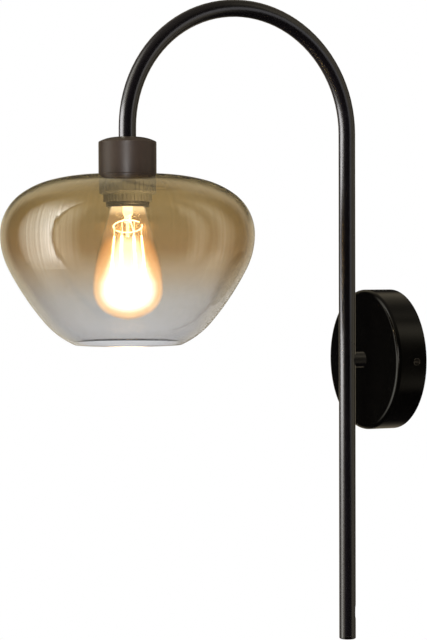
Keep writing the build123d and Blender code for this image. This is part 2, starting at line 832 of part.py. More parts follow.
def make_bulb_button():
    button = bar_z(button_diameter / 2, bulb_top - button_height, bulb_top)
    return at_lamp(fillet(button.edges().filter_by(GeomType.CIRCLE).sort_by(Axis.Z)[-1], button_height / 2))


def stem_top():
    return bulb_start()[1] - stem_below_rim


def make_bulb_stem():
    top = stem_top()
    flare = bulb_neck_diameter / 2 - bulb_glass - fixed_gap
    tube = stem_tube_diameter / 2
    rod = stem_rod_diameter / 2
    pinch_top = top - stem_length / 2
    stem = turned([
        (0, top), (flare, top), (flare, top - stem_flare_thickness), (tube, top - stem_flare_height),
        (tube, pinch_top), (rod, pinch_top - stem_rod_cone), (rod, top - stem_length),
        (0, top - stem_length)])
    stem += block((-tube, tube), (-rod, rod), (pinch_top - stem_pinch, pinch_top))
    return at_lamp(stem)


def feed_ring_z():
    return bulb_start()[1] - feed_ring_drop


def lower_ring_z():
    return feed_ring_z() - lower_ring_drop


def feed_ring_place():
    """The feed ring hangs askew, lowest on one side."""
    return (Pos(0, 0, feed_ring_z()) * Rot(0, 0, feed_ring_low_side_angle)
            * Rot(0, feed_ring_tilt_angle, 0) * Rot(0, 0, -feed_ring_low_side_angle))


def round_axis(radius, turn, height):
    """Place at a radius from the bulb's axis, turned from +X."""
    return Vector(radius * math.cos(math.radians(turn)), radius * math.sin(math.radians(turn)), height)


def on_feed_ring(turn):
    return (feed_ring_place() * Pos(round_axis(feed_ring_radius, turn, 0))).position


def rod_between(start, end, diameter, start_gap, end_gap):
    """Straight round rod between two places, short of each by a gap."""
    along = (end - start).normalized()
    length = (end - start).length - start_gap - end_gap
    place = Plane(origin=start + along * start_gap, z_dir=along)
    return Solid.make_cylinder(diameter / 2, length, place)


def make_bulb_lead_wires():
    radius = feed_wire_diameter / 2
    pinch_middle = stem_top() - stem_length / 2 - stem_pinch / 2
    leave = stem_tube_diameter / 2 + radius + fixed_gap
    wires = []
    for side in (0, 180):
        across = Plane(origin=(feed_ring_radius, 0, 0), x_dir=(1, 0, 0), z_dir=(0, 1, 0))
        arc = revolve(across * Circle(radius), Axis.Z, 180 - feed_ring_opening_angle)
        arc = feed_ring_place() * Rot(0, 0, side - (90 - feed_ring_opening_angle / 2)) * arc
        feed = rod_between(round_axis(leave, side, pinch_middle), on_feed_ring(side),
                           feed_wire_diameter, 0, 0)
        wires.append((arc + feed).solids()[0])
    return at_lamp(Compound(wires))


def filament_turns():
    """Three sticks under each half of the feed ring."""
    return [half + step * filament_spread_angle for half in (0, 180) for step in (-1, 0, 1)][:filament_count]


def filament_ends(turn):
    top = round_axis(filament_top_radius, turn, feed_ring_z() - filaments_below_ring)
    bottom = round_axis(lower_ring_radius, turn, lower_ring_z() + lower_tail)
    return top, bottom


def make_bulb_filaments():
    return at_lamp(Compound([rod_between(*filament_ends(turn), filament_diameter, 0, 0)
                             for turn in filament_turns()]))


def make_bulb_filament_tails():
    wire_gap = feed_wire_diameter / 2 + fixed_gap + tail_wire_diameter / 2
    tails = []
    for turn in filament_turns():
        top, bottom = filament_ends(turn)
        on_lower_ring = round_axis(lower_ring_radius, turn, lower_ring_z())
        tails.append(rod_between(on_feed_ring(turn), top, tail_wire_diameter, wire_gap, fixed_gap))
        tails.append(rod_between(bottom, on_lower_ring, tail_wire_diameter, fixed_gap, wire_gap))
    return at_lamp(Compound(tails))


def make_bulb_lower_ring():
    return at_lamp(Pos(0, 0, lower_ring_z()) * Torus(lower_ring_radius, feed_wire_diameter / 2))


nodes = {
    "wall_bracket": make_wall_bracket,
    "earth_screw": make_earth_screw,
    "terminal_block": make_terminal_block,
    "terminal_tubes": make_terminal_tubes,
    "terminal_screws": make_terminal_screws,
    "terminal_block_screw": make_terminal_block_screw,
    "canopy": make_canopy,
    "canopy_side_screws": make_canopy_side_screws,
    "canopy_nipple": make_canopy_nipple,
    "canopy_washer": make_canopy_washer,
    "earth_tag": make_earth_tag,
    "canopy_nut": make_canopy_nut,
    "arm_boss": make_arm_boss,
    "arm_tube": make_arm_tube,
    "foot_plug": make_foot_plug,
    "tube_bush": make_tube_bush,
    "lead_live": lambda: make_lead(1),
    "lead_neutral": lambda: make_lead(-1),
    "lead_earth": make_lead_earth,
    "lamp_nipple": make_lamp_nipple,
    "lamp_cup": make_lamp_cup,
    "cup_washer": make_cup_washer,
    "holder_cap": make_holder_cap,
    "holder_insert": make_holder_insert,
    "holder_terminals": make_holder_terminals,
    "holder_terminal_screws": make_holder_terminal_screws,
    "shell_contact": make_shell_contact,
    "centre_contact": make_centre_contact,
    "holder_skirt": make_holder_skirt,
    "shade_ring": make_shade_ring,
    "glass_shade": make_glass_shade,
    "bulb_glass": make_bulb_glass,
    "bulb_cap": make_bulb_cap,
    "bulb_insulator": make_bulb_insulator,
    "bulb_button": make_bulb_button,
    "bulb_stem": make_bulb_stem,
    "bulb_lead_wires": make_bulb_lead_wires,
    "bulb_filaments": make_bulb_filaments,
    "bulb_filament_tails": make_bulb_filament_tails,
    "bulb_lower_ring": make_bulb_lower_ring,
}

os.makedirs("parts", exist_ok=True)
for name, make in nodes.items():
    export_step(make(), os.path.join("parts", name + ".step"))
    print("made", name)
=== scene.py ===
# %% [markdown]
# # A wall light with a blown glass shade
#
# The light is a black tube, bent over like a walking stick, that hangs a lampholder cup, a
# blown glass bowl and a pear-shaped filament bulb in front of its round canopy. Its solids
# come ready at their real size and in their real places. This lesson adds what solids don't
# have: the camera of the photograph, the finish of every surface, and the light that glass
# and black paint need before they look like themselves.

# %% Load the solids
import json
import math

import bpy
from mathutils import Matrix, Vector


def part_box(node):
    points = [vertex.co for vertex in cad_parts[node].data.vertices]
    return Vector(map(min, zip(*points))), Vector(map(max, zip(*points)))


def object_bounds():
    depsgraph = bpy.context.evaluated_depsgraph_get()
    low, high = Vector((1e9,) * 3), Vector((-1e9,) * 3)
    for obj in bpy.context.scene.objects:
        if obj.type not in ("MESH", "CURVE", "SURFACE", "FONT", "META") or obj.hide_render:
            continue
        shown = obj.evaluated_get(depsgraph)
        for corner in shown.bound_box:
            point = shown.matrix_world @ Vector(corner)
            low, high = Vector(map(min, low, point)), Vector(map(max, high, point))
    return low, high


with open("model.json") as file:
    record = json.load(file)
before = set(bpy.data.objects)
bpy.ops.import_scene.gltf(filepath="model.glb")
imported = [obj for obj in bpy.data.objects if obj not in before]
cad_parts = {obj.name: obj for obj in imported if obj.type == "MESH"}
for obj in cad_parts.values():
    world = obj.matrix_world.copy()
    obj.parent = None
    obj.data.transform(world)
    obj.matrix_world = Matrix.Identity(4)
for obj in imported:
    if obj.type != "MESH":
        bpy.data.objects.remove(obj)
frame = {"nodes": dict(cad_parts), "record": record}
cad_low, cad_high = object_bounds()
nodes = frame["nodes"]
MM = 0.001
print(len(nodes), "pieces, box in mm", [round(v / MM, 1) for v in cad_high - cad_low])

# %% [markdown]
# The photograph was taken with a long lens from the right of the light, a little above the
# middle of its height. A camera could be aimed by eye, but then every edge would be a little
# off. This one was fitted to the tube's bend, the canopy and the shade, and what came out is
# written as real distances in metres and angles in degrees. The azimuth is counted from
# straight in front of the wall.

# %% Camera
VIEW_AZIMUTH = 62.48
CAMERA_DISTANCE = 1.900
CAMERA_HEIGHT = 0.0875
AIM_FROM_WALL = 0.110
YAW = 2.19
PITCH = -1.45
ROLL = -0.18
FOCAL_LENGTH_MM = 112.5
SENSOR_WIDTH_MM = 36.0
NEAREST_SEEN = 0.05
FARTHEST_SEEN = 100.0


def photo_camera():
    """A camera at the photograph's place, with the image's long side across the sensor."""
    lens = bpy.data.cameras.new("photo_camera")
    lens.lens = FOCAL_LENGTH_MM
    lens.sensor_width = SENSOR_WIDTH_MM
    lens.clip_start = NEAREST_SEEN
    lens.clip_end = FARTHEST_SEEN
    around = math.radians(VIEW_AZIMUTH)
    heading = math.radians(VIEW_AZIMUTH + YAW)
    pitch = math.radians(PITCH)
    roll = math.radians(ROLL)
    forward = Vector((-math.sin(heading) * math.cos(pitch),
                      math.cos(heading) * math.cos(pitch), math.sin(pitch)))
    level = Vector((math.cos(heading), math.sin(heading), 0))
    right = level * math.cos(roll) + level.cross(forward) * math.sin(roll)
    up = right.cross(forward)
    camera = bpy.data.objects.new("photo_camera", lens)
    camera.matrix_world = Matrix((right, up, -forward)).transposed().to_4x4()
    camera.location = (math.sin(around) * CAMERA_DISTANCE,
                       -math.cos(around) * CAMERA_DISTANCE - AIM_FROM_WALL, CAMERA_HEIGHT)
    bpy.context.scene.collection.objects.link(camera)
    bpy.context.scene.camera = camera
    return camera


camera = photo_camera()
bpy.context.scene.view_settings.view_transform = "Standard"
print("camera at", [round(v, 3) for v in camera.location])

# %% [markdown]
# Every finish below is made of shader nodes. They could be joined by hand in the editor, but
# code can be read from top to bottom and run again. Small helpers keep it readable: one adds
# a node with its inputs set, and the others are the nodes that most finishes need. Places
# are in metres on the object itself, so that a pattern has a real size.

# %% Shader helpers


def add(tree, kind, inputs=None, **settings):
    """A node of that kind, with its settings and inputs; an input that is a socket is linked."""
    node = tree.nodes.new(kind)
    for key, value in settings.items():
        setattr(node, key, value)
    for key, value in (inputs or {}).items():
        if isinstance(value, bpy.types.NodeSocket):
            tree.links.new(value, node.inputs[key])
        else:
            node.inputs[key].default_value = value
    return node


def place_of(tree):
    """The point's own place on the object, in metres."""
    return add(tree, "ShaderNodeTexCoord").outputs["Object"]


def height_of(tree):
    """How high the point is, in metres."""
    return add(tree, "ShaderNodeSeparateXYZ", {0: place_of(tree)}).outputs["Z"]


def math_node(tree, operation, a, b=0.0, clamp=False):
    """One sum on two numbers, such as MULTIPLY."""
    return add(tree, "ShaderNodeMath", {0: a, 1: b}, operation=operation, use_clamp=clamp).outputs[0]


def noise(tree, per_metre, detail=2.0):
    """A soft random number for each place, which changes about so many times in a metre."""
    inputs = {"Vector": place_of(tree), "Scale": per_metre, "Detail": detail}
    return add(tree, "ShaderNodeTexNoise", inputs).outputs["Fac"]


def noise_along(tree, number, scale, detail):
    """A soft random number that changes along another number, such as a height or an angle."""
    inputs = {"W": number, "Scale": scale, "Detail": detail}
    return add(tree, "ShaderNodeTexNoise", inputs, noise_dimensions="1D").outputs["Fac"]


def map_range(tree, number, start, end, low=0.0, high=1.0, soft=False):
    """From low to high as the number goes from start to end, straight or with soft ends."""
    inputs = {"Value": number, "From Min": start, "From Max": end, "To Min": low, "To Max": high}
    kind = "SMOOTHSTEP" if soft else "LINEAR"
    return add(tree, "ShaderNodeMapRange", inputs, interpolation_type=kind).outputs[0]


print("helpers ready")

# %% [markdown]
# Many finishes share the same small effects, so each effect is a node group, a little
# machine that many materials can hold. It puts out plain numbers, and each material decides
# what they do. The first effect is grain. Powder coat, moulded plastic and fired clay all
# have fine bumps, and their gloss drifts slowly from place to place. A photograph of a real
# surface could give both, but it brings its own light with it, so two noises are used.

# %% Fine grain


def new_group(name, inputs, outputs):
    """A shader node group with number inputs (name: default) and named number outputs."""
    group = bpy.data.node_groups.new(name, "ShaderNodeTree")
    for key, value in inputs.items():
        socket = group.interface.new_socket(key, in_out="INPUT", socket_type="NodeSocketFloat")
        socket.default_value = value
    for key in outputs:
        group.interface.new_socket(key, in_out="OUTPUT", socket_type="NodeSocketFloat")
    source = group.nodes.new("NodeGroupInput")
    sink = group.nodes.new("NodeGroupOutput")
    return group, source.outputs, sink.inputs


def fine_grain_group():
    """Grain of a coat or a moulding: fine bumps and a slower change of gloss."""
    sizes = {"Grain per metre": 2600.0, "Patches per metre": 60.0}
    group, given, made = new_group("fine_grain", sizes, ["Height", "Patches"])
    group.links.new(noise(group, given["Grain per metre"]), made["Height"])
    group.links.new(noise(group, given["Patches per metre"], detail=3.0), made["Patches"])
    return group


fine_grain = fine_grain_group()
print("group", fine_grain.name)

# %% [markdown]
# Handled paint and metal turn paler along their outside edges. The edges could be painted on
# each mesh by hand, but the Bevel node finds them: it rounds the normal near an edge, and
# where the rounded normal leaves the true one, there is an edge. A noise breaks the line up,
# so that it doesn't look like an outline.

# %% Worn edges
EDGE_WIDTH = 0.6 * MM
EDGE_SAMPLES = 4
SPECKLES_PER_METRE = 400.0


def worn_edges_group():
    """Mask of the outside edges, found where a rounded normal leaves the true one."""
    group, given, made = new_group("worn_edges", {"Edge width": EDGE_WIDTH, "Amount": 1.0}, ["Mask"])
    rounded = add(group, "ShaderNodeBevel", {"Radius": given["Edge width"]}, samples=EDGE_SAMPLES)
    normal = add(group, "ShaderNodeNewGeometry").outputs["Normal"]
    both = {0: rounded.outputs[0], 1: normal}
    same = add(group, "ShaderNodeVectorMath", both, operation="DOT_PRODUCT").outputs["Value"]
    lost = math_node(group, "SUBTRACT", 1.0, same)
    broken = math_node(group, "MULTIPLY", lost, noise(group, SPECKLES_PER_METRE, detail=4.0))
    group.links.new(math_node(group, "MULTIPLY", broken, given["Amount"], clamp=True), made["Mask"])
    return group


worn_edges = worn_edges_group()
print("group", worn_edges.name)

# %% [markdown]
# A piece that was turned on a lathe has fine lines round it. They are much too fine to cut
# in a mesh. A noise that depends on the height alone draws them in the shading instead.

# %% Turned lines


def turned_lines_group():
    """Fine lines round the upright axis, as a lathe or a brush leaves them."""
    group, given, made = new_group("turned_lines", {"Lines per metre": 5000.0}, ["Height"])
    lines = math_node(group, "MULTIPLY", height_of(group), given["Lines per metre"])
    group.links.new(noise_along(group, lines, scale=1.0, detail=3.0), made["Height"])
    return group


turned_lines = turned_lines_group()
print("group", turned_lines.name)

# %% [markdown]
# Paint, bare metal and mouldings differ in colour, gloss and relief, but are built in the
# same way: the colour and the gloss drift between two values over slow patches, the outside
# edges take a colour of their own, and a bump gives the relief. One function does that, so
# the three recipes after it only say what is special about each.

# %% How a finish is built


def start_material(name, **inputs):
    """A new material and its Principled shader, with the named inputs set."""
    material = bpy.data.materials.new(name)
    material.use_nodes = True
    shader = material.node_tree.nodes["Principled BSDF"]
    for key, value in inputs.items():
        shader.inputs[key.replace("_", " ")].default_value = value
    return material, shader


def use_group(tree, group, inputs=None):
    """What a node group puts out in this material, with its named inputs set."""
    return add(tree, "ShaderNodeGroup", inputs, node_tree=group).outputs


def mix_colour(tree, share, a, b):
    """From colour a to colour b as the share goes from 0 to 1; a colour may be a socket."""
    node = add(tree, "ShaderNodeMix", data_type="RGBA")
    sockets = {socket.identifier: socket for socket in node.inputs}
    tree.links.new(share, sockets["Factor_Float"])
    for identifier, colour in (("A_Color", a), ("B_Color", b)):
        if isinstance(colour, bpy.types.NodeSocket):
            tree.links.new(colour, sockets[identifier])
        else:
            sockets[identifier].default_value = (*colour, 1.0)
    return next(socket for socket in node.outputs if socket.identifier == "Result_Color")


def tinted(colour, share, lift=0.0):
    """The colour times a share, plus a lift, and never above full."""
    return [min(1.0, share * c + lift) for c in colour]


def build_finish(tree, shader, patches, colour, shades, edge, wear, roughness, gloss):
    """Colour and gloss that drift over slow patches, and outside edges of another colour."""
    dark, pale = [tinted(colour, share) for share in shades]
    smooth, rough = [roughness + change for change in gloss]
    worn = use_group(tree, worn_edges, {"Amount": wear})
    base = mix_colour(tree, patches, dark, pale)
    tree.links.new(mix_colour(tree, worn["Mask"], base, edge), shader.inputs["Base Color"])
    tree.links.new(map_range(tree, patches, 0.0, 1.0, smooth, rough), shader.inputs["Roughness"])


def raise_surface(tree, shader, height, strength, depth, socket="Normal"):
    """Relief in the shading, from a height of 0 to 1 and its depth in metres."""
    relief = add(tree, "ShaderNodeBump", {"Height": height, "Strength": strength, "Distance": depth})
    tree.links.new(relief.outputs[0], shader.inputs[socket])


print("finishes are built from", fine_grain.name, worn_edges.name, turned_lines.name)

# %% [markdown]
# The tube, the boss and the foot plug are powder coated, a satin black with a violet cast, a
# very fine orange peel, and paler metal where an edge has been handled. The canopy has the
# same coat, which looks deeper and smoother there; its copy here is darker and smoother, and
# the darker colour is painted shade. The lampholder cup is a brown lacquer with a dull sheen,
# and the canopy's side screws are blackened steel. Each is one call of one recipe, which gives
# the shades of its patches as shares of the colour and their gloss as steps from the stated roughness.

# %% Painted finishes
PAINT_SHADES = (0.8, 1.2)
PAINT_GLOSS = (-0.05, 0.07)
PAINT_GRAIN_DEPTH = 0.05 * MM


def coated(name, colour, edge, roughness, bump, wear=5.0, metallic=0.0, specular=0.5):
    """Paint on metal: grain in gloss and height, and edges worn towards the metal."""
    material, shader = start_material(name, Metallic=metallic, Specular_IOR_Level=specular)
    tree = material.node_tree
    fine = use_group(tree, fine_grain)
    build_finish(tree, shader, fine["Patches"], colour, PAINT_SHADES, edge, wear, roughness, PAINT_GLOSS)
    raise_surface(tree, shader, fine["Height"], bump, PAINT_GRAIN_DEPTH)
    return material


black_paint = coated("black_powder_coat", colour=(0.0075, 0.0060, 0.0085), edge=(0.05, 0.045, 0.045),
                     roughness=0.24, bump=0.25, specular=0.6)
# A darker copy of the tube's coat: its darker colour is painted shade, and its gloss is smoother.
canopy_coat_painted_shade = coated("black_canopy_coat_darkened_for_shade", colour=(0.0024, 0.0022, 0.0020), edge=(0.05, 0.045, 0.040),
                      roughness=0.12, bump=0.10, specular=0.25)
bronze_paint = coated("bronze_lacquer", colour=(0.040, 0.028, 0.022), edge=(0.16, 0.12, 0.09),
                      roughness=0.38, bump=0.15, specular=0.2)
dark_screw = coated("blackened_screw", colour=(0.020, 0.018, 0.017), edge=(0.20, 0.18, 0.16),
                    roughness=0.30, bump=0.10, wear=6.0, metallic=0.8)
print("paints", black_paint.name, canopy_coat_painted_shade.name, bronze_paint.name, dark_screw.name)

# %% [markdown]
# Bare metal shows only inside the canopy and the lampholder, and on the bulb's cap: zinc
# plated steel, turned brass, nickel and tin. All of it has been turned, pressed or drawn, so
# the relief is the group of fine lines, and the edges are a paler shade of the same metal.

# %% Bare metals
METAL_SHADES = (0.82, 1.0)
METAL_EDGE = 1.25
METAL_GLOSS = (-0.06, 0.08)
METAL_WEAR = 3.0
METAL_LINE_DEPTH = 0.03 * MM


def bare_metal(name, colour, roughness, bump=0.12):
    """Bright metal with fine turned lines, cloudy patches and paler edges."""
    material, shader = start_material(name, Metallic=1.0)
    tree = material.node_tree
    patches = use_group(tree, fine_grain)["Patches"]
    edge = tinted(colour, METAL_EDGE)
    build_finish(tree, shader, patches, colour, METAL_SHADES, edge, METAL_WEAR, roughness, METAL_GLOSS)
    raise_surface(tree, shader, use_group(tree, turned_lines)["Height"], bump, METAL_LINE_DEPTH)
    return material


zinc_steel = bare_metal("zinc_steel", (0.60, 0.61, 0.60), roughness=0.32)
brass = bare_metal("turned_brass", (0.80, 0.58, 0.25), roughness=0.28)
cap_metal = bare_metal("nickelled_cap", (0.78, 0.70, 0.50), roughness=0.22)
solder = bare_metal("tinned_contact", (0.66, 0.66, 0.64), roughness=0.38, bump=0.3)
print("metals", zinc_steel.name, brass.name, cap_metal.name, solder.name)

# %% [markdown]
# The plastics, the porcelain, the black glass in the bulb's cap and the leads' insulation
# were all pressed or drawn while soft. They take their look from a fine grain, a small drift
# of colour and a soft gloss. The white plastic also lets a little light in under its skin.

# %% Moulded finishes
MOULDING_SIZES = {"Grain per metre": 3200.0, "Patches per metre": 90.0}
MOULDING_SHADES = (0.86, 1.1)
MOULDING_EDGE = 1.3
MOULDING_EDGE_LIFT = 0.02
MOULDING_GLOSS = (-0.06, 0.06)
MOULDING_WEAR = 2.0
MOULDING_GRAIN_DEPTH = 0.06 * MM
LIGHT_UNDER_SKIN = 1.0 * MM


def moulded(name, colour, roughness, bump=0.2, subsurface=0.0):
    """Plastic, fired clay or pressed glass, with a fine grain."""
    material, shader = start_material(name, Subsurface_Weight=subsurface, Subsurface_Scale=LIGHT_UNDER_SKIN)
    tree = material.node_tree
    fine = use_group(tree, fine_grain, MOULDING_SIZES)
    edge = tinted(colour, MOULDING_EDGE, MOULDING_EDGE_LIFT)
    build_finish(tree, shader, fine["Patches"], colour, MOULDING_SHADES, edge, MOULDING_WEAR, roughness,
                 MOULDING_GLOSS)
    raise_surface(tree, shader, fine["Height"], bump, MOULDING_GRAIN_DEPTH)
    return material


white_plastic = moulded("white_plastic", (0.80, 0.79, 0.75), roughness=0.42, subsurface=0.1)
holder_plastic = moulded("holder_thermoset", (0.045, 0.043, 0.040), roughness=0.40)
ring_plastic = moulded("ring_plastic", (0.28, 0.28, 0.26), roughness=0.22)
porcelain = moulded("porcelain", (0.84, 0.82, 0.76), roughness=0.50, bump=0.35)
black_glass = moulded("fused_black_glass", (0.02, 0.018, 0.025), roughness=0.12, bump=0.05)
lead_brown = moulded("lead_brown", (0.13, 0.055, 0.025), roughness=0.45)
lead_blue = moulded("lead_blue", (0.03, 0.10, 0.36), roughness=0.45)
print("mouldings", white_plastic.name, holder_plastic.name, ring_plastic.name, porcelain.name)

# %% [markdown]
# The earth lead has a yellow stripe on green. The stripe could be a thin strip of mesh of its
# own, but this lead is short and hidden in the canopy, so slanting bands of a wave do it.

# %% Green and yellow lead
STRIPE_SCALE = 55.0
GREEN = (0.10, 0.34, 0.06)
YELLOW = (0.80, 0.66, 0.05)


def ramp(tree, value, stops):
    """A colour ramp with (position, colour) stops, the positions from 0 to 1."""
    node = add(tree, "ShaderNodeValToRGB", {"Fac": value})
    band = node.color_ramp
    while len(band.elements) < len(stops):
        band.elements.new(0.5)
    for element, (position, colour) in zip(band.elements, stops):
        element.position = position
        element.color = (*colour, 1.0)
    return node.outputs["Color"]


def striped_lead():
    """Earth insulation: yellow bands that slant across the green lead."""
    material, shader = start_material("lead_green_yellow", Roughness=0.45)
    tree = material.node_tree
    inputs = {"Vector": place_of(tree), "Scale": STRIPE_SCALE}
    wave = add(tree, "ShaderNodeTexWave", inputs, bands_direction="DIAGONAL")
    colour = ramp(tree, wave.outputs["Fac"], [(0.45, GREEN), (0.55, YELLOW)])
    tree.links.new(colour, shader.inputs["Base Color"])
    return material


lead_green = striped_lead()
print("lead", lead_green.name)

# %% [markdown]
# The shade is blown glass, tinted through, that fades from amber at the top to smoky grey at
# its rim. The tint could be painted on as an image, but it only depends on the height, so a
# colour ramp up the bowl does it, and a slow noise keeps the fade from being ruled straight.
# Principled glass takes the square root of its colour at each face, so one wall takes the
# colour once. Where the wall is seen edge on, the light's way through it is longer, and the
# tint deepens there.

# %% Tint of the shade
shade_low, shade_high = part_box("glass_shade")
shade_middle = (shade_low + shade_high) / 2
SMOKE_AT_RIM = (0.755, 0.758, 0.770)
SMOKE = (0.715, 0.700, 0.675)
SMOKY_AMBER = (0.675, 0.585, 0.460)
AMBER = (0.575, 0.450, 0.285)
DEEP_AMBER = (0.525, 0.420, 0.240)
PALE_AMBER = (0.580, 0.480, 0.270)
TINT_BY_HEIGHT = [
    (0.07, SMOKE_AT_RIM), (0.27, SMOKE), (0.45, SMOKY_AMBER),
    (0.56, AMBER), (0.77, DEEP_AMBER), (0.95, PALE_AMBER),
]
CLOUDS_PER_METRE = 9.0
CLOUD_DRIFT = 0.04
EDGE_ON_POWER = 2.5
EDGE_ON_DEPTH = 1.2


def turned_away(tree):
    """0 where a surface faces the eye, and 1 where it is seen edge on."""
    return add(tree, "ShaderNodeLayerWeight", {"Blend": 0.5}).outputs["Facing"]


def shade_tint(tree):
    """Colour by height in the bowl, deepened where the wall is seen edge on."""
    share = map_range(tree, height_of(tree), shade_low.z, shade_high.z)
    cloud = noise(tree, CLOUDS_PER_METRE)
    drift = map_range(tree, cloud, 0.0, 1.0, -CLOUD_DRIFT, CLOUD_DRIFT)
    tint = ramp(tree, math_node(tree, "ADD", share, drift), TINT_BY_HEIGHT)
    steep = math_node(tree, "POWER", turned_away(tree), EDGE_ON_POWER)
    longer_way = math_node(tree, "ADD", math_node(tree, "MULTIPLY", steep, EDGE_ON_DEPTH), 1.0)
    return add(tree, "ShaderNodeGamma", {"Color": tint, "Gamma": longer_way}).outputs[0]


print("shade from", round(shade_low.z, 3), "to", round(shade_high.z, 3))

# %% [markdown]
# Blown glass is never quite round. Low ripples run down the bowl and bend what it mirrors,
# and finer drawn lines weaken it in narrow streaks. Both could be modelled in the mesh, but
# then the view through the glass would wobble as well. So they act only on a clear coat over
# the glass, which does most of the mirroring: the ripples on its normal, the lines on its
# weight. Both are noises of the angle round the lamp, so they run from neck to rim.

# %% Shade glass
RIPPLES = 12.0
RIPPLE_STRENGTH = 0.08
RIPPLE_DEPTH = 2.0 * MM
DRAWN_LINES = 45.0
LINE_FAINTEST = 0.38
LINE_STRONGEST = 0.62
LEAST_SHINE = 0.50


def around_lamp(tree):
    """Angle of a point round the lamp's upright axis, in radians."""
    beside = add(tree, "ShaderNodeVectorMath", {0: place_of(tree), 1: shade_middle}, operation="SUBTRACT")
    split = add(tree, "ShaderNodeSeparateXYZ", {0: beside.outputs[0]}).outputs
    return math_node(tree, "ARCTAN2", split["X"], split["Y"])


def shade_glass():
    """Tinted glass under a clear coat with ripples and drawn lines."""
    material, shader = start_material("amber_to_smoke_glass", Transmission_Weight=1.0, Roughness=0.0,
                                      IOR=1.45, Coat_IOR=1.7, Coat_Roughness=0.03, Coat_Weight=1.0)
    tree = material.node_tree
    tree.links.new(shade_tint(tree), shader.inputs["Base Color"])
    angle = around_lamp(tree)
    ripple = noise_along(tree, angle, RIPPLES, detail=3.0)
    raise_surface(tree, shader, ripple, RIPPLE_STRENGTH, RIPPLE_DEPTH, socket="Coat Normal")
    drawn = noise_along(tree, angle, DRAWN_LINES, detail=2.0)
    shine = map_range(tree, drawn, LINE_FAINTEST, LINE_STRONGEST, LEAST_SHINE, 1.0)
    tree.links.new(shine, shader.inputs["Coat Weight"])
    return material


shade_material = shade_glass()
print("shade material", shade_material.name)

# %% [markdown]
# The bulb is amber glass round six glowing sticks. In the photograph the sticks burn out to
# one white core with a warm rim, because the glass and the lens spread their light. A plain
# render doesn't spread light in the lens, and many more samples wouldn't change that. So the
# glass itself glows by how squarely it faces the eye, white in the middle and orange at the
# rim. The glow covers the height of the sticks, is faint above them, where the wires show,
# and comes back in the narrow neck by the cap. The white core is wide in the bulb's belly
# and thin at the top of the sticks, so the facing is weighed by the height. Only the outer
# face of the wall glows, because the inner one is seen bent and would spread the white core.

# %% Glow of the bulb's glass
bulb_low, bulb_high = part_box("bulb_glass")
sticks_low, sticks_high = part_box("bulb_filaments")
CORE_GLOW = 1.5
THROAT_GLOW = 0.19
NECK_GLOW = 0.9
NECK_LIGHT = (1.0, 0.94, 0.95)
GLOW_ENDS = sticks_high.z + 3 * MM
GLOW_IS_FULL = sticks_high.z - 8 * MM
NECK_STARTS = bulb_high.z - 24 * MM
NECK_IS_FULL = bulb_high.z - 16 * MM
BELLY = sticks_low.z + 10 * MM
FACING_AT_BELLY = 0.5
FACING_AT_TOP = 1.5
GLOW_ACROSS = [
    (0.00, (1.0, 1.0, 1.0)), (0.11, (1.0, 1.0, 1.0)), (0.15, (0.67, 0.68, 0.60)),
    (0.21, (0.47, 0.39, 0.29)), (0.26, (0.38, 0.27, 0.15)), (0.34, (0.39, 0.25, 0.155)),
    (0.52, (0.27, 0.16, 0.09)), (0.84, (0.05, 0.042, 0.038)), (1.00, (0.025, 0.02, 0.017)),
]


def add_colour(tree, a, b):
    """Two colours of light together."""
    return add(tree, "ShaderNodeVectorMath", {0: a, 1: b}, operation="ADD").outputs[0]


def scale_colour(tree, colour, strength):
    """A colour of light made stronger or weaker."""
    return add(tree, "ShaderNodeVectorMath", {0: colour, "Scale": strength}, operation="SCALE").outputs[0]


def bulb_glow(tree, height, hot):
    """Light of the wall: a white core over the sticks, a faint throat and a lit neck."""
    weight = map_range(tree, height, BELLY, sticks_high.z, FACING_AT_BELLY, FACING_AT_TOP)
    across = ramp(tree, math_node(tree, "MULTIPLY", turned_away(tree), weight), GLOW_ACROSS)
    core = scale_colour(tree, across, math_node(tree, "MULTIPLY", hot, CORE_GLOW))
    throat = math_node(tree, "MULTIPLY", math_node(tree, "SUBTRACT", 1.0, hot), THROAT_GLOW)
    neck = map_range(tree, height, NECK_STARTS, NECK_IS_FULL, high=NECK_GLOW, soft=True)
    upper = scale_colour(tree, NECK_LIGHT, math_node(tree, "ADD", throat, neck))
    return add_colour(tree, core, upper)


print("bulb from", round(bulb_low.z, 3), "to", round(bulb_high.z, 3))

# %% [markdown]
# The wall of the bulb is thin amber glass. It is nearly smooth at the neck, so that the
# wires there stay sharp. Over the sticks it is given more roughness, which blurs them into
# the core, as the spread light does in the photograph.

# %% Bulb glass
NECK_ROUGHNESS = 0.03
BLURRED_ROUGHNESS = 0.14
AMBER_WALL = ((0.98, 0.82, 0.60), (0.98, 0.86, 0.68))
WALL_CLOUDS_PER_METRE = 30.0


def bulb_glass():
    """Thin amber glass that glows on its outer face."""
    material, shader = start_material("amber_bulb_glass", Transmission_Weight=1.0, IOR=1.30,
                                      Coat_Weight=0.6, Coat_Roughness=0.03)
    tree = material.node_tree
    height = height_of(tree)
    hot = map_range(tree, height, GLOW_ENDS, GLOW_IS_FULL, soft=True)
    blur = map_range(tree, hot, 0.0, 1.0, NECK_ROUGHNESS, BLURRED_ROUGHNESS)
    tree.links.new(blur, shader.inputs["Roughness"])
    tint = mix_colour(tree, noise(tree, WALL_CLOUDS_PER_METRE), *AMBER_WALL)
    tree.links.new(tint, shader.inputs["Base Color"])
    tree.links.new(bulb_glow(tree, height, hot), shader.inputs["Emission Color"])
    inner_face = add(tree, "ShaderNodeNewGeometry").outputs["Backfacing"]
    tree.links.new(math_node(tree, "SUBTRACT", 1.0, inner_face), shader.inputs["Emission Strength"])
    return material


bulb_material = bulb_glass()
print("bulb material", bulb_material.name)

# %% [markdown]
# Inside the bulb are a clear glass stem, the sticks, and bright wires so near the sticks
# that they shine with their light. The wires and the stem could be lit by the sticks alone,
# but such thin lamps behind glass make a grainy picture. So all three give out light of
# their own, in a colour that changes a little from place to place.

# %% Stem, sticks and wires


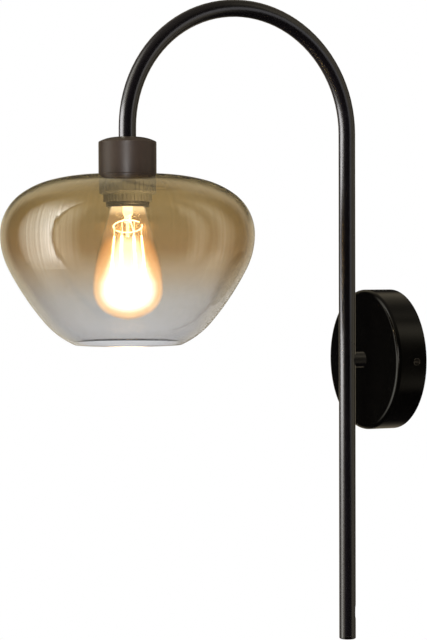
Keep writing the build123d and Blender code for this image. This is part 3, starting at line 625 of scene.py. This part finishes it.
def glowing(name, per_metre, dim, bright, strength, **inputs):
    """A piece that gives out light, in a colour that changes a little over it."""
    material, shader = start_material(name, Emission_Strength=strength, **inputs)
    tree = material.node_tree
    glow = mix_colour(tree, noise(tree, per_metre), dim, bright)
    tree.links.new(glow, shader.inputs["Base Color"])
    tree.links.new(glow, shader.inputs["Emission Color"])
    return material


stem_material = glowing("clear_stem_glass", per_metre=200.0, dim=(1.0, 0.90, 0.74), bright=(1.0, 0.96, 0.88),
                        strength=2.4, Transmission_Weight=1.0, IOR=1.45, Roughness=0.02)
filament_material = glowing("glowing_filament", per_metre=700.0, dim=(1.0, 0.84, 0.60),
                            bright=(1.0, 0.90, 0.72), strength=14.0, Roughness=0.5)
wire_material = glowing("lit_wire", per_metre=150.0, dim=(1.0, 0.94, 0.84), bright=(1.0, 0.98, 0.96),
                        strength=7.0, Metallic=1.0, Roughness=0.2)
print("glowing", stem_material.name, filament_material.name, wire_material.name)

# %% [markdown]
# The record names a finish for each solid. The table below pairs those names with the
# materials, so that no solid has to be listed here. Two things depart from the names: the
# screws called bright look blackened, and the canopy has a darker copy of the coat, whose
# darker colour is painted shade.

# %% Give each solid its finish
FINISHES = {
    "zinc_steel": zinc_steel, "brass": brass, "cap_metal": cap_metal, "solder": solder,
    "bright_screw": dark_screw, "black_paint": black_paint, "bronze_paint": bronze_paint,
    "white_plastic": white_plastic, "holder_plastic": holder_plastic, "ring_plastic": ring_plastic,
    "ceramic_insert": porcelain, "black_glass": black_glass,
    "lead_brown": lead_brown, "lead_blue": lead_blue, "lead_green": lead_green,
    "shade_glass": shade_material, "bulb_glass": bulb_material, "stem_glass": stem_material,
    "feed_wire": wire_material, "filament": filament_material,
}
finish_of = {row["node"]: FINISHES[row["material_slot"]] for row in frame["record"]["subparts"]}
finish_of["canopy"] = canopy_coat_painted_shade
for name, solid in nodes.items():
    solid.data.materials.clear()
    solid.data.materials.append(finish_of[name])
print(len(nodes), "pieces finished with", len(set(finish_of.values())), "materials")

# %% [markdown]
# Glass and gloss show what is around them, so the surround is half of the picture. The
# photograph has a white backdrop, while the bowl mirrors a bright window at the left, weaker
# ones at the right and at the back, and a dark room behind the camera. A real room could be
# built out of lamps and cards, but a world that depends on the direction alone is quicker
# and gives less noise. To the camera and through glass it is white. What surfaces mirror is
# the list of lights below, as stops round the horizon: an azimuth in degrees, counted from
# the camera's side of the light and positive to the right, and the light from there.

# %% Lights round the room
BRIGHTEST = 6.0
DARK = (0.02, 0.018, 0.018)
SKY = (0.20, 0.18, 0.14)
BLACK = (0.0, 0.0, 0.0)
WHITE = (1.0, 1.0, 1.0)
BACK_LEFT = [
    (-180, (0.20, 0.17, 0.12)), (-165, (0.48, 0.42, 0.29)), (-142, (0.48, 0.41, 0.27)), (-130, DARK),
]
LEFT_WINDOW = [
    (-113, DARK), (-107, (0.85, 0.80, 0.68)), (-98, (1.9, 1.85, 1.6)), (-86, (3.1, 3.05, 2.7)),
    (-78, (4.2, 4.1, 3.7)), (-73, (5.2, 5.1, 4.7)), (-69, (6.0, 6.0, 5.6)), (-67, DARK),
]
LEFT_SIDE_PANE = [(-65, DARK), (-62, (1.9, 1.7, 1.3)), (-52, (1.5, 1.35, 1.05)), (-38, DARK)]
RIGHT_WINDOW = [(60, DARK), (70, (1.0, 0.9, 0.68)), (77, (0.9, 0.8, 0.62)), (84, (0.2, 0.18, 0.13))]
RIGHT_SIDE_PANE = [(92, (0.5, 0.45, 0.35)), (100, (1.0, 0.9, 0.7)), (110, (0.5, 0.45, 0.34)), (120, DARK)]
BACK_RIGHT = [
    (133, DARK), (144, (0.45, 0.38, 0.26)), (165, (0.45, 0.39, 0.28)), (180, (0.20, 0.17, 0.12)),
]
ROOM = BACK_LEFT + LEFT_WINDOW + LEFT_SIDE_PANE + RIGHT_WINDOW + RIGHT_SIDE_PANE + BACK_RIGHT
print(len(ROOM), "stops of light round the horizon")

# %% [markdown]
# The lights fill a band round the horizon and fade out above and below it. A weak sky comes
# in overhead, and high up behind the light the room goes dark. A step between two of these
# would be mirrored as a hard line, so each fades into the next. Heights here are those of a
# direction, from -1 straight down to 1 straight up.

# %% World
BAND_MIDDLE = 0.10
BAND_FULL = 0.45
BAND_OUT = 0.85
SKY_STARTS = 0.40
SKY_FULL = 0.90
DIM_STARTS_UP = 0.08
DIM_FULL_UP = 0.22
DIM_STARTS_BEHIND = -0.78
DIM_FULL_BEHIND = -0.93
FULL_TURN = 360


def seen_directly(tree):
    """1 for rays from the camera and through glass, and 0 for all others."""
    rays = add(tree, "ShaderNodeLightPath").outputs
    return math_node(tree, "MAXIMUM", rays["Is Camera Ray"], rays["Is Transmission Ray"])


def room_light(tree):
    """The light from each direction, as surfaces mirror it."""
    inputs = {"Vector": add(tree, "ShaderNodeTexCoord").outputs["Generated"],
              "Angle": math.radians(-VIEW_AZIMUTH)}
    turned = add(tree, "ShaderNodeVectorRotate", inputs, rotation_type="Z_AXIS").outputs[0]
    split = add(tree, "ShaderNodeSeparateXYZ", {0: turned}).outputs
    up = split["Z"]
    to_camera = math_node(tree, "MULTIPLY", split["Y"], -1.0)
    azimuth = math_node(tree, "ARCTAN2", split["X"], to_camera)
    share = map_range(tree, azimuth, -math.pi, math.pi)
    stops = [((degrees + FULL_TURN / 2) / FULL_TURN, [c / BRIGHTEST for c in colour])
             for degrees, colour in ROOM]
    walls = scale_colour(tree, ramp(tree, share, stops), BRIGHTEST)
    off_middle = math_node(tree, "ABSOLUTE", math_node(tree, "SUBTRACT", up, BAND_MIDDLE))
    band = map_range(tree, off_middle, BAND_OUT, BAND_FULL, soft=True)
    sky = map_range(tree, up, SKY_STARTS, SKY_FULL, soft=True)
    light = add_colour(tree, mix_colour(tree, band, DARK, walls), mix_colour(tree, sky, BLACK, SKY))
    high = map_range(tree, up, DIM_STARTS_UP, DIM_FULL_UP, soft=True)
    behind = map_range(tree, to_camera, DIM_STARTS_BEHIND, DIM_FULL_BEHIND, soft=True)
    return mix_colour(tree, math_node(tree, "MULTIPLY", high, behind), light, DARK)


def studio_world():
    """White to the camera and through glass, and the room to everything else."""
    world = bpy.data.worlds.new("studio")
    bpy.context.scene.world = world
    world.use_nodes = True
    tree = world.node_tree
    tree.nodes.clear()
    shown = mix_colour(tree, seen_directly(tree), room_light(tree), WHITE)
    background = add(tree, "ShaderNodeBackground", {"Color": shown, "Strength": 1.0})
    add(tree, "ShaderNodeOutputWorld", {"Surface": background.outputs[0]})
    return world


world = studio_world()
print("world", world.name)

# %% [markdown]
# Black paint shows its shape only by streaks of light, and the room's windows give too few of
# them. A photographer moves soft panels until each piece has its streak. Here each panel
# lights one or two pieces only, by light linking, so the streak on the tube can be set
# without touching the glass. The small warm panel inside the shade stands for the light of
# the bulb on the ribbed ring and on the lampholder's skirt. Panels aren't seen by the camera.

# %% Linked lamps
COOL = (0.97, 0.95, 1.0)
WARM = (1.0, 0.93, 0.85)
BULB_LIGHT = (1.0, 0.84, 0.62)


def soft_panel(name, azimuth, elevation, width, height, strength, lights, colour=WHITE, distance=1.5,
               above=0.0):
    """A panel that faces the lamp's axis and lights the named pieces alone."""
    data = bpy.data.lights.new(name, "AREA")
    data.shape = "RECTANGLE"
    data.size = width
    data.size_y = height
    data.energy = strength * width * height * math.pi
    data.color = colour
    lamp = bpy.data.objects.new(name, data)
    around = math.radians(VIEW_AZIMUTH + azimuth)
    rise = math.radians(elevation)
    away = Vector((math.sin(around) * math.cos(rise), -math.cos(around) * math.cos(rise), math.sin(rise)))
    lamp.location = shade_middle + away * distance + Vector((0.0, 0.0, above))
    lamp.rotation_mode = "QUATERNION"
    lamp.rotation_quaternion = away.to_track_quat("Z", "Y")
    lamp.visible_camera = False
    bpy.context.scene.collection.objects.link(lamp)
    receivers = bpy.data.collections.new(name + "_receivers")
    for node in lights:
        receivers.objects.link(nodes[node])
    lamp.light_linking.receiver_collection = receivers
    return lamp


lamps = [
    soft_panel("cup_strip", azimuth=0.0, elevation=8.0, width=0.30, height=1.2, strength=22.0,
               lights=["lamp_cup"]),
    soft_panel("tube_left", azimuth=-80.0, elevation=5.0, width=1.5, height=0.9, strength=7.5,
               lights=["arm_tube"], colour=COOL),
    soft_panel("tube_right", azimuth=58.0, elevation=5.0, width=0.5, height=0.9, strength=1.2,
               lights=["arm_tube"], colour=COOL),
    soft_panel("canopy_strip", azimuth=-24.0, elevation=2.0, width=0.20, height=0.6, strength=10.0,
               lights=["canopy"], colour=WARM),
    soft_panel("ring_glow", azimuth=30.0, elevation=-45.0, width=0.05, height=0.02, strength=30.0,
               lights=["shade_ring", "holder_skirt"], colour=BULB_LIGHT, distance=0.085, above=0.070),
]
print(len(lamps), "linked lamps")

# %% [markdown]
# The photograph doesn't show the arm or the canopy mirrored in the bowl. In a render they
# would be, as dark bars across the amber. Moving them isn't allowed, so every piece that
# reaches back towards the wall is left out of mirror images, and stays visible itself.

# %% Keep the arm out of mirror images
MIRRORED_BEHIND_LAMP = 0.13


def reaches_back(solid):
    """True when a piece reaches further towards the wall than mirror images should show."""
    return max(corner[1] for corner in solid.bound_box) > shade_middle.y + MIRRORED_BEHIND_LAMP


hidden = [solid for solid in nodes.values() if reaches_back(solid)]
for solid in hidden:
    solid.visible_glossy = False
print(len(hidden), "pieces are left out of mirror images")

# %% [markdown]
# The light hangs on a wall, so the floor is a good way below it. A wide pale plane would show
# a horizon under the white world. So the camera, and rays through glass, see it as white as
# the world, and nothing mirrors it. To all other light it is a plain pale floor, which sends
# a soft light up on the shade and the tube.

# %% Floor
FLOOR_HEIGHT = cad_low.z - 0.25
FLOOR_REACH = 30.0
FLOOR_COLOUR = (0.80, 0.80, 0.80, 1.0)


def pale_floor():
    """A wide pale floor, as white as the world to the camera and through glass."""
    mesh = bpy.data.meshes.new("floor")
    corners = [(-1, -1), (1, -1), (1, 1), (-1, 1)]
    points = [(x * FLOOR_REACH, y * FLOOR_REACH, FLOOR_HEIGHT) for x, y in corners]
    mesh.from_pydata(points, [], [(0, 1, 2, 3)])
    floor = bpy.data.objects.new("floor", mesh)
    bpy.context.scene.collection.objects.link(floor)
    floor.visible_glossy = False
    material, shader = start_material("pale_floor", Roughness=0.9, Base_Color=FLOOR_COLOUR)
    tree = material.node_tree
    white = add(tree, "ShaderNodeEmission", {"Color": (*WHITE, 1.0)})
    inputs = {0: seen_directly(tree), 1: shader.outputs[0], 2: white.outputs[0]}
    chosen = add(tree, "ShaderNodeMixShader", inputs)
    tree.links.new(chosen.outputs[0], tree.nodes["Material Output"].inputs["Surface"])
    mesh.materials.append(material)
    return floor


floor = pale_floor()
print(floor.name, "at", round(FLOOR_HEIGHT, 3))
